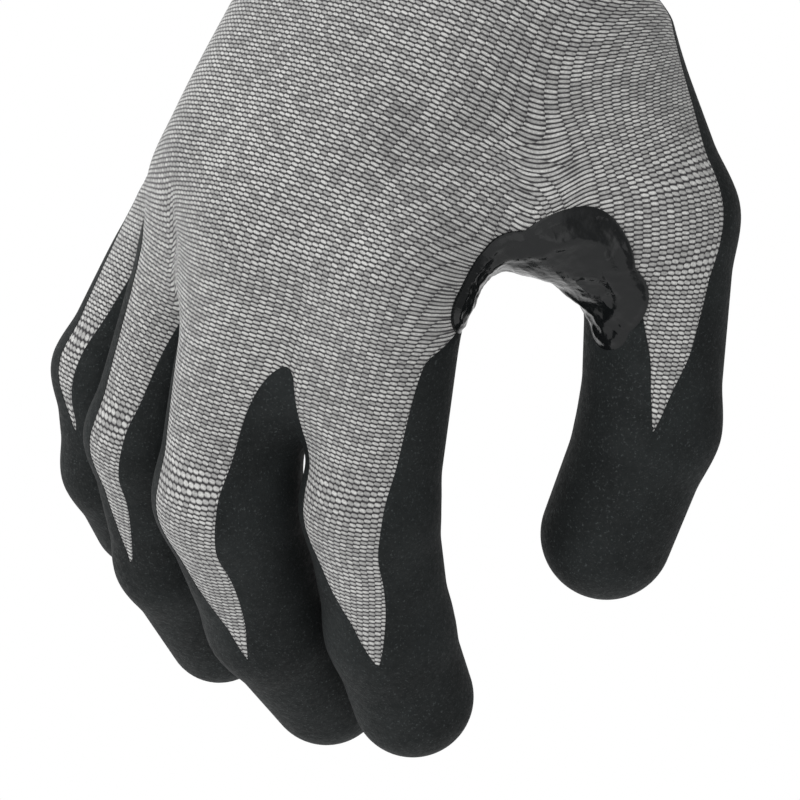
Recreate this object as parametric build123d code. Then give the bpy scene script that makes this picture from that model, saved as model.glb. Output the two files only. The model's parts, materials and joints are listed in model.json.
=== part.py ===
"""Right-hand work glove: a knitted liner, a dipped palm coating, a thumb-crotch patch and a ribbed cuff.

Row frame, millimetres: the origin is the centre of the wrist opening, +Z points up the forearm, the fingers
hang towards -Z, -Y is the back of the hand and +X is the thumb side. The digits rest half closed, as on a
hand that grips a bar, and each one is a chain of tubes that hinge at the knuckles.
"""

from build123d import *

import math
import os
from dataclasses import dataclass

# Fabric and film thicknesses
KNIT = 1.1
FILM = 0.7
PATCH = 0.8

# Cuff: an elliptical ribbed tube with an overlocked hem at its mouth
CUFF_LENGTH = 58.0
CUFF_HALF_WIDTH = 30.0
CUFF_HALF_DEPTH = 21.5
CUFF_WALL = 1.6
HEM_HEIGHT = 5.0
HEM_WALL = 2.6
ELASTIC_TURNS = 9
ELASTIC_THICK = 0.6
ELASTIC_HEIGHT = 1.0
ELASTIC_PITCH = 5.0

# Hand: inner half widths and half depths of the palm from the wrist to the knuckle line
#              z      centre x  centre y  half width  half depth
PALM_SECTIONS = (
    (-CUFF_LENGTH, 0.0, 0.0, 28.6, 20.1),
    (-78.0, -0.5, 0.5, 30.5, 19.5),
    (-100.0, -2.5, 0.0, 32.5, 17.5),
    (-120.0, -5.5, -1.5, 36.5, 15.0),
    (-143.0, -6.5, -2.5, 38.5, 13.0),
)
KNUCKLE_LINE = -141.0
PALM_MIDDLE = -104.0  # where the tubes over the hand bones start
PALM_TAPER = 0.82  # and how much closer together they are there than at the knuckles
DIP_LINE_Y = -1.0  # the palm film starts just behind the hand's mid plane
DIP_MARGIN = 6.0  # and this far below the cuff

# Web between the thumb and the index finger, a quarter ring of fabric
WEB_TUBE = 9.5
WEB_POINTS = ((22.0, 2.0, -122.0), (37.0, 15.5, -114.5), (45.0, 32.0, -114.0))

PALM_CORNER = 0.97  # corner radius of a palm section, as a share of its half depth

# Hinges: every mouth is cut back so that the next tube can swing
GAP = 0.35  # half the clearance across a hinge at rest
MOUTH_HALF_WIDTH = 12.5  # how wide a finger's mouth is cut in the hand, half the pitch of the fingers
THUMB_MOUTH_HALF_WIDTH = 20.0
THUMB_REACH = 12.0  # how far the thumb's root runs past its knuckle before it is cut back

# Fingers: how far each joint moves from rest, degrees
TIP_RATIO = 0.5  # the tip joint bends this share of the middle joint's bend
FINGER_CLOSES = 40.0
MIDDLE_CLOSES = 44.0
FINGER_OVERBEND = 5.0  # a knuckle straightens this far past straight
BACK_STRIP = 0.45  # the film wraps this share of the radius behind a digit's centre line

# Modelling margins
CUT = 60.0  # larger than any part that is cut
SPARE = 4.0  # how far solids poke out before they are trimmed


@dataclass
class Digit:
    """One digit at rest: where its first hinge is, how it bends, and the tubes between its hinges."""

    name: str
    knuckle: tuple  # centre of the first hinge
    along: tuple  # direction of the bone before the first hinge
    axis: tuple  # hinge axis, positive bending the digit into the palm
    bends: tuple  # rest bend at each hinge, degrees
    closes: tuple  # further bend that each hinge allows, degrees
    opens: tuple  # how far each hinge straightens from rest, degrees
    bones: tuple  # hinge to hinge, and last hinge to the centre of the round tip
    radii: tuple  # outer radius at each hinge and at the tip
    tubes: tuple = ("proximal", "middle", "tip")

    def chain(self):
        """Hinge centres and tip centre, and the direction of each tube."""
        line = Axis((0, 0, 0), self.axis)
        points = [Vector(*self.knuckle)]
        ways = [Vector(*self.along).normalized()]
        turned = 0.0
        for bend, bone in zip(self.bends, self.bones):
            turned += bend
            ways.append(ways[0].rotate(line, turned))
            points.append(points[-1] + ways[-1] * bone)
        return points, ways


def finger(name, knuckle, spread, bends, bones, radii):
    """A finger: its tip bends half as far as its middle joint, and every joint straightens fully."""
    tilt = Vector(0, 0, -1).rotate(Axis.Y, -spread)
    side = Vector(1, 0, 0).rotate(Axis.Y, -spread)
    closes = (FINGER_CLOSES, MIDDLE_CLOSES, MIDDLE_CLOSES * TIP_RATIO)
    opens = (bends[0] + FINGER_OVERBEND, bends[1], bends[1] * TIP_RATIO)
    bends = (*bends, bends[1] * TIP_RATIO)
    return Digit(name, knuckle, tuple(tilt), tuple(side), bends, closes, opens, bones, radii)


INDEX = finger("index", (25.0, 0.0, -133.5), 1.0, (27.0, 19.0), (44.0, 26.0, 17.0), (11.9, 11.7, 11.0, 10.6))
MIDDLE = finger("middle", (1.6, -9.0, -139.0), -0.3, (26.0, 30.0), (48.0, 30.0, 17.5), (11.4, 11.3, 11.0, 10.6))
RING = finger("ring", (-19.8, -2.0, -137.0), -5.5, (19.0, 32.0), (45.0, 29.0, 17.0), (9.8, 9.7, 9.7, 9.6))
LITTLE = finger("little", (-42.0, 15.0, -136.0), -3.0, (3.0, 40.0), (36.0, 21.0, 15.0), (9.4, 9.3, 9.2, 9.0))

THUMB_ROOT = Vector(21.0, 10.0, -76.0)
THUMB_ROOT_RADIUS = 17.0
THUMB_KNUCKLE = Vector(45.8, 33.4, -105.1)
THUMB = Digit(
    "thumb",
    tuple(THUMB_KNUCKLE),
    tuple(THUMB_KNUCKLE - THUMB_ROOT),
    (-0.36, 0.87, 0.33),
    bends=(29.0, 12.0),
    closes=(20.0, 40.0),
    opens=(24.0, 22.0),
    bones=(37.0, 20.0),
    radii=(14.3, 13.2, 11.9),
    tubes=("proximal", "tip"),
)
FINGERS = (INDEX, MIDDLE, RING, LITTLE)
DIGITS = (*FINGERS, THUMB)


def cone(start, end, r_start, r_end):
    """A solid cone frustum, or a cylinder, between two points."""
    run = end - start
    plane = Plane(origin=start, z_dir=run)
    if abs(r_start - r_end) < 1e-6:
        return plane * Cylinder(r_start, run.length, align=(Align.CENTER, Align.CENTER, Align.MIN))
    return plane * Cone(r_start, r_end, run.length, align=(Align.CENTER, Align.CENTER, Align.MIN))


def ball(centre, radius):
    return Pos(*centre) * Sphere(radius)


def ellipse_tube(z_top, z_end, half_width, half_depth, wall):
    """A straight elliptical tube whose inner half axes are given."""
    outer = Ellipse(half_width + wall, half_depth + wall)
    ring = Pos(0, 0, z_end) * (outer - Ellipse(half_width, half_depth))
    return extrude(ring, z_top - z_end)


def mouth_cut(pivot, normal, axis, palm_angle, back_angle, half_width):
    """What is cut away behind a hinge: a wedge that opens palm_angle on the palm side and back_angle on the
    back, and lies on the far side of the pivot from normal."""
    normal = normal.normalized()
    palm = axis.cross(normal).normalized()
    if palm.dot(palm_side(axis)) < 0:
        palm = palm * -1
    plane = Plane(origin=pivot - axis.normalized() * half_width, x_dir=palm, z_dir=axis)
    up = plane.y_dir.dot(normal)
    sign = 1 if up > 0 else -1
    corners = [
        (0, sign * GAP),
        (CUT, sign * (GAP + CUT * tan_deg(palm_angle))),
        (CUT, -sign * CUT),
        (-CUT, -sign * CUT),
        (-CUT, sign * (GAP + CUT * tan_deg(back_angle))),
    ]
    face = plane * Polygon(*corners, align=None)
    return extrude(face, amount=2 * half_width, dir=axis.normalized())


def tan_deg(angle):
    return math.tan(math.radians(angle))


def palm_side(axis):
    """The direction in which a positive turn about a hinge axis carries a hanging digit."""
    return axis.cross(Vector(0, 0, -1)).normalized()


def mitre(digit, number):
    """Hinge centre, bisecting direction and axis of a digit's hinge."""
    points, ways = digit.chain()
    return points[number], (ways[number] + ways[number + 1]).normalized(), Vector(*digit.axis).normalized()


def stage_solid(digit, number, inset):
    """One tube of a digit as a solid, inset from its outer surface; the last one ends in a round tip."""
    points, _ = digit.chain()
    start, end = points[number], points[number + 1]
    r_start, r_end = digit.radii[number] - inset, digit.radii[number + 1] - inset
    solid = cone(start, end, r_start, r_end)
    if number == len(digit.bones) - 1:
        solid += ball(end, r_end)
    return solid


def trimmed(solid, digit, number):
    """Cuts a tube back at both its hinges, each by half of the hinge's travel."""
    for hinge, sign in ((number, 1), (number + 1, -1)):
        if hinge == len(digit.bones):
            continue
        pivot, bisector, axis = mitre(digit, hinge)
        cut = mouth_cut(pivot, bisector * sign, axis, digit.closes[hinge] / 2, digit.opens[hinge] / 2, CUT)
        solid -= cut
    return solid


def coated_side(digit, number):
    """The part of a tube's space that the film covers: the palm side and both flanks, or all of a tip."""
    points, ways = digit.chain()
    start, end = points[number], points[number + 1]
    axis = Vector(*digit.axis).normalized()
    palm = axis.cross(ways[number + 1]).normalized()
    if palm.dot(palm_side(axis)) < 0:
        palm = palm * -1
    depth = digit.radii[number] * BACK_STRIP
    plane = Plane(origin=start - palm * depth, x_dir=axis, z_dir=palm)
    length = (end - start).length + CUT
    return plane * Box(CUT, 2 * length, CUT, align=(Align.CENTER, Align.CENTER, Align.MIN))


def digit_parts(digit):
    """The knitted tube and the film over it, for each tube of a digit."""
    parts = {}
    for number, tube in enumerate(digit.tubes):
        outer = stage_solid(digit, number, 0.0)
        middle = stage_solid(digit, number, FILM)
        inner = stage_solid(digit, number, FILM + KNIT)
        film = outer - middle
        if number < len(digit.bones) - 1:
            film = film & coated_side(digit, number)
        parts[f"{digit.name}_{tube}_knit"] = trimmed(middle - inner, digit, number)
        parts[f"{digit.name}_{tube}_coating"] = trimmed(film, digit, number)
    return parts


def palm_loft(grow):
    """The palm as a loft of rounded sections, grown by an offset."""
    poke = SPARE - grow  # a smaller solid reaches further, so that a shell's ends stay open
    rings = []
    for z, x, y, half_width, half_depth in PALM_SECTIONS:
        z += poke if z == PALM_SECTIONS[0][0] else 0.0
        z -= poke if z == PALM_SECTIONS[-1][0] else 0.0
        a, b = half_width + grow, half_depth + grow
        rings.append(Pos(x, y, z) * RectangleRounded(2 * a, 2 * b, b * PALM_CORNER))
    return loft(rings)


def hand_solid(grow):
    """Palm, thumb root and web as one solid, grown by an offset from the space that the hand fills."""
    thumb_radius = THUMB.radii[0] - FILM - KNIT + grow
    root_radius = THUMB_ROOT_RADIUS - FILM - KNIT + grow
    solid = palm_loft(grow)
    solid += cone(THUMB_ROOT, THUMB_KNUCKLE, root_radius, thumb_radius)
    beyond = THUMB_KNUCKLE + THUMB.chain()[1][0] * (THUMB_REACH - grow)
    solid += cone(THUMB_KNUCKLE, beyond, thumb_radius, thumb_radius)
    for digit in FINGERS:
        knuckle = Vector(*digit.knuckle)
        root = Vector(knuckle.X * PALM_TAPER, knuckle.Y / 2, PALM_MIDDLE)
        radius = digit.radii[0] - FILM - KNIT + grow
        solid += cone(root, knuckle + (knuckle - root).normalized() * (SPARE - grow), radius, radius)
    path = ThreePointArc(*WEB_POINTS)
    section = Plane(origin=path @ 0, z_dir=path % 0) * Circle(WEB_TUBE - KNIT - FILM + grow)
    return solid + sweep(section, path=path)


def open_mouths(solid):
    """Cuts the hand's shell back at the knuckle line and at each digit's first hinge."""
    for digit in DIGITS:
        pivot, bisector, axis = mitre(digit, 0)
        half_width = THUMB_MOUTH_HALF_WIDTH if digit is THUMB else MOUTH_HALF_WIDTH
        solid -= mouth_cut(pivot, bisector * -1, axis, digit.closes[0] / 2, digit.opens[0] / 2, half_width)
    above = Pos(0, 0, -CUFF_LENGTH) * Box(3 * CUT, 3 * CUT, CUT, align=(Align.CENTER, Align.CENTER, Align.MIN))
    below = Pos(0, 0, KNUCKLE_LINE) * Box(3 * CUT, CUT, 2 * CUT, align=(Align.CENTER, Align.CENTER, Align.MAX))
    return solid - above - below


def hand_parts():
    """The knitted hand, the film over the palm and the patch over the thumb crotch."""
    inner, knit, film = hand_solid(0.0), hand_solid(KNIT), hand_solid(KNIT + FILM)
    palm_space = Pos(0, DIP_LINE_Y, -CUFF_LENGTH - DIP_MARGIN) * Box(
        4 * CUT, 2 * CUT, 4 * CUT, align=(Align.CENTER, Align.MIN, Align.MAX)
    )
    return {
        "hand_knit": open_mouths(knit - inner),
        "palm_coating": open_mouths((film - knit) & palm_space),
    }


def crotch_patch():
    """A saddle of film over the web between thumb and index finger."""
    path = ThreePointArc(*WEB_POINTS)
    plane = Plane(origin=path @ 0, z_dir=path % 0)
    band = sweep(plane * Circle(WEB_TUBE + PATCH), path=path) - hand_solid(KNIT + FILM)
    return max(open_mouths(band).solids(), key=lambda s: s.volume)


def cuff_parts():
    """Ribbed cuff, the elastic yarns laid into it, and the overlocked hem."""
    elastic = []
    mid_wall = (CUFF_WALL - ELASTIC_THICK) / 2
    for turn in range(ELASTIC_TURNS):
        z = -HEM_HEIGHT - ELASTIC_PITCH * (turn + 1)
        ring = ellipse_tube(
            z + ELASTIC_HEIGHT, z, CUFF_HALF_WIDTH + mid_wall, CUFF_HALF_DEPTH + mid_wall, ELASTIC_THICK
        )
        elastic.append(ring)
    rib = ellipse_tube(-HEM_HEIGHT, -CUFF_LENGTH, CUFF_HALF_WIDTH, CUFF_HALF_DEPTH, CUFF_WALL)
    for ring in elastic:
        rib -= ring
    return {
        "cuff_rib": rib,
        "cuff_elastic": Compound(children=[Part(ring.wrapped) for ring in elastic]),
        "cuff_hem": ellipse_tube(0, -HEM_HEIGHT, CUFF_HALF_WIDTH, CUFF_HALF_DEPTH, HEM_WALL),
    }


def all_parts():
    parts = cuff_parts() | hand_parts()
    parts["thumb_crotch_patch"] = crotch_patch()
    for digit in DIGITS:
        parts |= digit_parts(digit)
    return parts


if __name__ == "__main__":
    os.makedirs("parts", exist_ok=True)
    for node, shape in all_parts().items():
        export_step(shape, f"parts/{node}.step")
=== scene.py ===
"""Looks for the coated work glove: a continuous knitted skin, a dipped palm, a crotch patch and a ribbed cuff.

Lengths are in millimetres until a mesh is made. The skin is the zero surface of a distance field built round
the joints of the CAD frame. It is cut along the dip line and across each digit, so that every piece crosses
one joint only.
"""

import json
import math

import bpy
import numpy as np
import openvdb
from mathutils import Matrix, Vector, noise


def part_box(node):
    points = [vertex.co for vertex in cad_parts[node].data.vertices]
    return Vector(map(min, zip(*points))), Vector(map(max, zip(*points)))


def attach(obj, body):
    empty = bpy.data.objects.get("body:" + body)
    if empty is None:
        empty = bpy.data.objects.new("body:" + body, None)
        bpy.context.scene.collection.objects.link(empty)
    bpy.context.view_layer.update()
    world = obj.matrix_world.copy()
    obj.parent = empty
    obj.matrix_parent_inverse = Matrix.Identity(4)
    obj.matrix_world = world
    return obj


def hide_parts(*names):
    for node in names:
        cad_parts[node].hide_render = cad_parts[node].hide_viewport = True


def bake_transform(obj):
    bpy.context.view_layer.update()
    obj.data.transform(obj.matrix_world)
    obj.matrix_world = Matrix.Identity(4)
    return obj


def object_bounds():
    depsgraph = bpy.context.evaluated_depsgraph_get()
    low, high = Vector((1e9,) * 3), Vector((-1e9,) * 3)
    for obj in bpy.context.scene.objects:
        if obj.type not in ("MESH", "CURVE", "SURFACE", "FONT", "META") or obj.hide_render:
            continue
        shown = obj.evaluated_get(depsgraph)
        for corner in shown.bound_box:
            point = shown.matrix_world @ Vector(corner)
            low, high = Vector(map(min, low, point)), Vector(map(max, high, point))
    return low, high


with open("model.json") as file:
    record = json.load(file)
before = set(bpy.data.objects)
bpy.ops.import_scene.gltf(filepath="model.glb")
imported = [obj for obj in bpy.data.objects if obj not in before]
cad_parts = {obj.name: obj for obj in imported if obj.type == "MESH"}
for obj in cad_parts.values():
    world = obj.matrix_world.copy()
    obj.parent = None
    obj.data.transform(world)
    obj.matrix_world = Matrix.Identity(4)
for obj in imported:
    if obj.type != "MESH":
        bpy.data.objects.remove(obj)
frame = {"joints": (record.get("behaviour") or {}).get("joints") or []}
cad_low, cad_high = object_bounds()

MM = 1000.0
JOINTS = {joint["name"]: joint for joint in frame["joints"]}

# Shape of the skin, in millimetres
VOXEL = 0.7
OUTSIDE = 3 * VOXEL  # the field's value beyond the sampled grid
COARSE = 4  # the field is first sampled this many voxels apart
GRID_MARGIN = 6.0
GRID_TOP = 4.0
SLOPE_STEP = 0.15
CHUNK = 8192
KNIT_WALL = 1.0
FILM_EDGE = 0.12
FILM_BODY = 0.45
WRIST_Z = -58.0
WRIST_TUCK = 1.0  # the skin runs this far up inside the cuff
HEM_Z = -5.0

# Distances before and after a hinge; a digit's first cut lies the first of these before its knuckle
FOLD = (9.0, 9.0)
THUMB_ROOT_FOLD = (10.0, 9.0)
KNUCKLE_FOLD = (8.0, 14.0)

FINGER_RADII = {
    "index": (11.9, 11.3, 10.6, 10.5),
    "middle": (11.9, 12.2, 11.0, 10.4),
    "ring": (9.8, 9.7, 9.6, 9.4),
    "little": (8.6, 8.8, 9.0, 9.0),
}
THUMB_RADII = (15.2, 12.6, 11.7, 11.3)
THUMB_SPREAD = 0.45  # how far the thumb's fold is turned away from the web
THUMB_LAST_TURN, FINGER_LAST_TURN = 0.62, 0.5  # share of the last bend that the tip bends on by
TUBE_BLEND = 3.0
THUMB_ROOT = np.array((21.0, 10.0, -76.0))
NEAR_FADE, NEAR_REACH = 0.9, 8.0  # how quickly a point passes from one bone of a digit to the next
OVERRUN = 0.45  # share of a bone's length by which it may be read past its ends
TIP_EXTRA = {"index": 0.0, "middle": 1.8, "ring": 2.4, "little": 0.0, "thumb": 1.8}  # coating at the very tip
FINGERS = tuple(FINGER_RADII)
DIGITS = (*FINGERS, "thumb")

# Bare strip on the back of each digit: where it ends past the knuckle, how far it is turned towards the thumb
# side, and where its flare over the knuckle ends on the thumb side and on the little finger's side
STRIP_HALVES = {"index": 56.0, "middle": 44.0, "ring": 31.0, "little": 27.0}
STRIP_POWER = 3
STRIP_ENDS = {"index": 70.0, "middle": 76.0, "ring": 69.0, "little": 46.0, "thumb": 35.0}
STRIP_TURNS = {"index": 13.0, "middle": 7.0, "ring": 7.0, "little": -5.0, "thumb": 55.0}
STRIP_DRIFTS = {"index": 23.0, "middle": 20.0, "ring": 5.0, "little": 12.0, "thumb": 12.0}
STRIP_FLARES = {"index": (4.5, 13.0), "middle": (13.0, 14.0), "ring": (14.0, 1.0), "little": (-1.0, 4.0)}
DRIFT_FROM = 0.6
FLARE_ANGLE = 45.0
FLARE_LENGTH = 6.0
THUMB_STRIP_START = 9.0
THUMB_STRIP_HALF = 30.0
THUMB_STRIP_POWER = 1.2
THUMB_WEB_FLARE, THUMB_WEB_MOST = 12.0, 100.0  # degrees for each mm before the start, and in all
THUMB_OUTER_FLARE = 1.1
STRIP_MOST = 150.0

WEB_BARE = 1.3  # the bare back drops this much for each mm towards the thumb
WEB_BARE_FROM = 22.0
SHARE_SOFTNESS = 1.5

# Where one part's pattern passes into another's. Each pair is a range of distances in millimetres.
FINGER_FADE = (5.0, 10.0)  # outside a finger's tube
THUMB_EDGE = (5.0, 12.0)  # outside the thumb's
THUMB_OVER_PALM = (-5.0, 5.0)  # how much nearer the thumb is than the palm
THUMB_OVER_FINGERS = (-6.0, 2.0)
KNIT_OVER_PALM = (-12.0, 12.0)
KNIT_OVER_FINGERS = (-8.0, 6.0)
THUMB_ZONE = (-60.0, -30.0)  # past the knuckle, as are the next four
THUMB_TURN = (-50.0, -10.0)
FINGER_ZONE = (2.0, 14.0)
FINGER_TURN_U = (2.0, 26.0)
FINGER_TURN_V = (-10.0, 14.0)

# How far in front of the hand's mid plane the palm film's edge runs, at distances below the wrist opening
DIP_OUTER = ((60.0, 7.0), (100.0, 4.0), (125.0, -1.0), (140.0, -5.5))
DIP_INNER = ((60.0, 8.0), (100.0, 6.0), (140.0, 1.0))
DIP_ACROSS = (-30.0, 10.0)

# Palm sections: z, centre x, half width, half depth, roundness
PALM = np.array(
    (
        (10.0, 0.0, 31.3, 22.8, 2.1),
        (-50.0, 0.0, 31.3, 22.8, 2.1),
        (-60.0, 0.5, 31.0, 22.4, 2.1),
        (-78.0, 0.8, 30.6, 21.3, 2.2),
        (-98.0, 0.0, 30.5, 19.3, 2.3),
        (-118.0, -1.0, 31.5, 16.5, 2.4),
        (-136.0, -3.5, 34.5, 13.0, 2.5),
        (-150.0, -3.5, 34.0, 11.0, 2.5),
    )
)
PALM_ROUNDING = (-9.0, -4.5, 0.0, 4.5, 9.0)  # the sections are averaged over these heights
# Arch of the knuckles: the hand's mid plane is furthest back over the middle finger
ARCH_START, ARCH_END = -70.0, -135.0
ARCH_HEIGHT = -9.0
ARCH_FLAT = (-12.0, 0.0)  # it falls away beyond these x
ARCH_SPAN = (-42.0, 25.0)
OUTER_FALL, OUTER_POWER = 0.0625, 1.75
INNER_FALL = 0.0144
PALM_END = -141.0
PALM_END_BLEND = 14.0

# Webs between the digits
WEB_ARC = np.array(((22.0, 2.0, -121.0), (30.0, 8.0, -116.5), (37.0, 15.5, -114.0), (42.0, 24.0, -113.5)))
WEB_RADIUS = 8.5
WEB_DEPTHS = (26.0, 12.0, 9.0)  # how far the webs between the fingers reach past the knuckles
WEB_INSET = 2.4
WEB_LEAN = 0.45  # how much a web's upper part follows its fingers
WEB_ROOT = 22.0
WEB_ABOVE = 30.0  # webs reach this far above the knuckles
FINGER_WEB_BLEND, FINGER_WEB_ROUND = 6.0, 3.0
THUMB_WEB_BLEND, THUMB_WEB_ROUND = 9.0, 4.0
KNUCKLE_BLEND = 9.0
THUMB_BLEND = 22.0
THUMB_FADE = (-74.0, -59.0)  # the thumb's bulge dies away towards the cuff over these heights

# Glossy patch along the web of the thumb: points on the fold, and how far it reaches from each
PATCH_LINE = np.array(
    (
        (34.0, 8.0, -134.0),
        (38.0, 13.0, -124.0),
        (43.0, 19.0, -120.0),
        (47.0, 26.0, -121.5),
        (48.0, 30.5, -126.0),
    )
)
PATCH_REACH = (5.5, 8.5, 12.0, 8.5, 4.5)
PATCH_THICK = 0.55
PATCH_CREASE = 0.3
PATCH_RIDGE = 0.5  # a fold runs along the patch this far inside its outline
PATCH_RIDGE_IN = 4.2
PATCH_RIDGE_HALF = 1.1
BROAD_PITCH, SMALL_PITCH = 0.22, 1.1  # waves of the wrinkles for each mm
CREASE_PITCH = np.array((0.30, 0.20, 0.5))
CREASE_SHIFT = np.array((9.0, 4.0, 0.0))
CREASE_STEEP = 2.4
SMALL_SHARE = 0.18

# Knit: width of a stitch, height of a row, and how much the rows drop across the hand
WALE = 1.15
COURSE = 0.8
ROW_SLOPE = 0.17
THUMB_MEETS = np.array((34.0, 3.0, -97.0))  # the thumb's rows are lined up with the hand's here

# How the skin is split and layered
DIGIT_REACH = 9.0  # skin this near a digit's tube is cut into that digit's pieces
WEB_TOP_Z = -120.0
FILM_RAMP = 2.5  # the film reaches its full thickness this far from its edge
FILM_SOAK = 0.15  # and starts this far inside the knit
BORDER_BAND = 6.0  # neighbouring fingers are parted where their distances differ by less than this
PATCH_EDGE = 0.45
PATCH_RAMP = 1.6
PATCH_SPLITS = 2

# Cuff
CUFF_HALF = (30.9, 22.4)
CUFF_COLUMNS = 690
CUFF_STEP = 0.8
ELASTIC_DEPTH = 0.25
GATHERED_RIB = 0.35  # a row of elastic flattens the ribs by this share
INNER_RIB = 0.6
CUFF_EDGE = 0.3
HEM_LAP = 0.6  # the ribs run this far up into the hem
HEM_HALF_WALL = 1.25
HEM_ROUND = 18
HEM_SQUARENESS = 0.6
HEM_INSET = 0.2
HEM_ROW = 180.0  # length of a row of its knit
OVERLOCK_STEPS = 22
YARN_SIDES = 7
CUFF_WALL = 1.3
RIB_PITCH = 2.5
RIB_DEPTH = 0.34
ELASTIC_PITCH = 5.0
OVERLOCK_PITCH = 1.9
OVERLOCK_YARN = 0.42
OVERLOCK_PROUD, OVERLOCK_RISE = 0.55, 0.3  # shares of the yarn that stand out beyond the hem's wall and top


def unit(v):
    v = np.asarray(v, float)
    return v / np.linalg.norm(v)


def unit_rows(v):
    return v / np.linalg.norm(v, axis=1)[:, None]


def turn(v, axis, angle):
    """Turns a vector about an axis by an angle in radians."""
    axis = unit(axis)
    cross = np.cross(axis, v)
    return v * math.cos(angle) + cross * math.sin(angle) + axis * (axis @ v) * (1 - math.cos(angle))


def smoothstep(low, high, x):
    t = np.clip((x - low) / (high - low), 0.0, 1.0)
    return t * t * (3 - 2 * t)


def smooth_min(a, b, k):
    """The smaller of two distances, rounded where they are within k of each other."""
    h = np.maximum(k - np.abs(a - b), 0.0) / k
    return np.minimum(a, b) - h * h * k * 0.25


def from_segment(p, a, b):
    """Distance of points from a line segment, and how far along it each one's foot is, 0 to 1."""
    ab = (b - a).astype(np.float32)
    r = p - a.astype(np.float32)
    t = np.clip(r @ ab / (ab @ ab), 0.0, 1.0)
    r = r - t[:, None] * ab
    return np.sqrt(np.einsum("ij,ij->i", r, r)), t


class Digit:
    """One digit's centre line through the hinges of the CAD, and its tube radii."""

    def __init__(self, name):
        self.name = name
        thumb = name == "thumb"
        names = ("thumb_knuckle", "thumb_tip_joint") if thumb else tuple(
            f"{name}_{part}" for part in ("knuckle", "middle_joint", "tip_joint")
        )
        points = [np.array(JOINTS[n]["pos_m"]) * MM for n in names]
        self.axis = unit(JOINTS[names[0]]["axis"]) * (-1 if thumb else 1)  # bends the digit towards the palm
        self.radii = THUMB_RADII if thumb else FINGER_RADII[name]
        if thumb:
            points.insert(0, THUMB_ROOT)
        last = unit(points[-1] - points[-2])
        before = unit(points[-2] - points[-3])
        bend = math.acos(np.clip(last @ before, -1, 1)) * (THUMB_LAST_TURN if thumb else FINGER_LAST_TURN)
        last = turn(last, self.axis, bend)
        low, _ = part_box(f"{name}_tip_coating")
        tip_radius = self.radii[-1]
        reach = (points[-1][2] - (low.z * MM - TIP_EXTRA[name] + tip_radius)) / -last[2]
        points.append(points[-1] + last * reach)
        self.points = np.array(points)
        self.knuckle = 1 if thumb else 0
        steps = np.linalg.norm(np.diff(self.points, axis=0), axis=1)
        self.along = np.concatenate(((0.0,), np.cumsum(steps)))
        self.along -= self.along[self.knuckle]
        self.ways = np.array([unit(d) for d in np.diff(self.points, axis=0)])
        self.crossings = list(self.find_crossings())

    def find_crossings(self):
        """For each hinge: its tube's name, the pivot, the direction across the hinge from one body to the next,
        and distances before and after the pivot."""
        thumb = self.name == "thumb"
        tubes = ("proximal", "tip") if thumb else ("proximal", "middle", "tip")
        for number, tube in enumerate(tubes, self.knuckle):
            before = self.ways[number - 1] if number else np.array((0.0, 0.0, -1.0))
            across = unit(before + self.ways[number])
            fold = FOLD
            if number == self.knuckle and thumb:
                away = np.cross(self.axis, across)
                across = unit(across + THUMB_SPREAD * away * np.sign(away[0]))
                fold = THUMB_ROOT_FOLD
            elif number == self.knuckle:
                fold = KNUCKLE_FOLD
            yield tube, self.points[number], across, *fold

    def field(self, p):
        """Distance to the digit's tube."""
        d = None
        p = np.asarray(p, np.float32)
        for a, b, ra, rb in zip(self.points, self.points[1:], self.radii, self.radii[1:]):
            off, t = from_segment(p, a, b)
            e = off - (ra + (rb - ra) * t)
            d = e if d is None else smooth_min(d, e, TUBE_BLEND)
        return d

    def far_from(self, low, high, reach=16.0):
        """Whether a box of points is further than reach from every part of the digit."""
        margin = reach + max(self.radii)
        return bool(
            (self.points.max(0) + margin < low).any() or (self.points.min(0) - margin > high).any()
        )

    def place(self, p):
        """For each point: distance along the digit past its knuckle, and angle round it from the back, positive
        towards the thumb side."""
        total, s, back_part, side_part = (np.zeros(len(p)) for _ in range(4))
        last = len(self.ways) - 1
        for n, (a, way) in enumerate(zip(self.points, self.ways)):
            length = np.linalg.norm(self.points[n + 1] - a)
            t = (p - a) @ way
            near = np.clip(t, 0, length)
            far = np.linalg.norm(p - a - near[:, None] * way, axis=1)
            weight = np.exp(NEAR_FADE * (NEAR_REACH - far))
            back = -unit(np.cross(self.axis, way))
            side = np.cross(back, way)
            if side[0] < 0:
                side = -side
            off = p - a - t[:, None] * way
            low = -np.inf if n == 0 else -OVERRUN * length
            high = np.inf if n == last else (1 + OVERRUN) * length
            s += weight * (self.along[n] + np.clip(t, low, high))
            back_part += weight * (off @ back)
            side_part += weight * (off @ side)
            total += weight
        return s / total, np.arctan2(side_part, back_part)


digits = {name: Digit(name) for name in DIGITS}


def palm_row(z):
    """Palm section values at each z, with the corners between sections rounded off."""
    rows = PALM[::-1]
    out = []
    for column in range(1, PALM.shape[1]):
        near = [np.interp(z + shift, rows[:, 0], rows[:, column]) for shift in PALM_ROUNDING]
        out.append(sum(near) / len(near))
    return out


def arch(x, z):
    """How far the knuckle arch moves the hand's mid plane along Y, and how steeply that changes with x."""
    share = smoothstep(-ARCH_START, -ARCH_END, -z)
    across = np.clip(x, *ARCH_SPAN)
    outer = np.maximum(ARCH_FLAT[0] - across, 0.0)
    inner = np.maximum(across - ARCH_FLAT[1], 0.0)
    height = ARCH_HEIGHT + OUTER_FALL * outer**OUTER_POWER + INNER_FALL * inner**2
    slope = 2 * INNER_FALL * inner - OUTER_FALL * OUTER_POWER * outer ** (OUTER_POWER - 1)
    return share * height, share * slope * (across == x)


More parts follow.
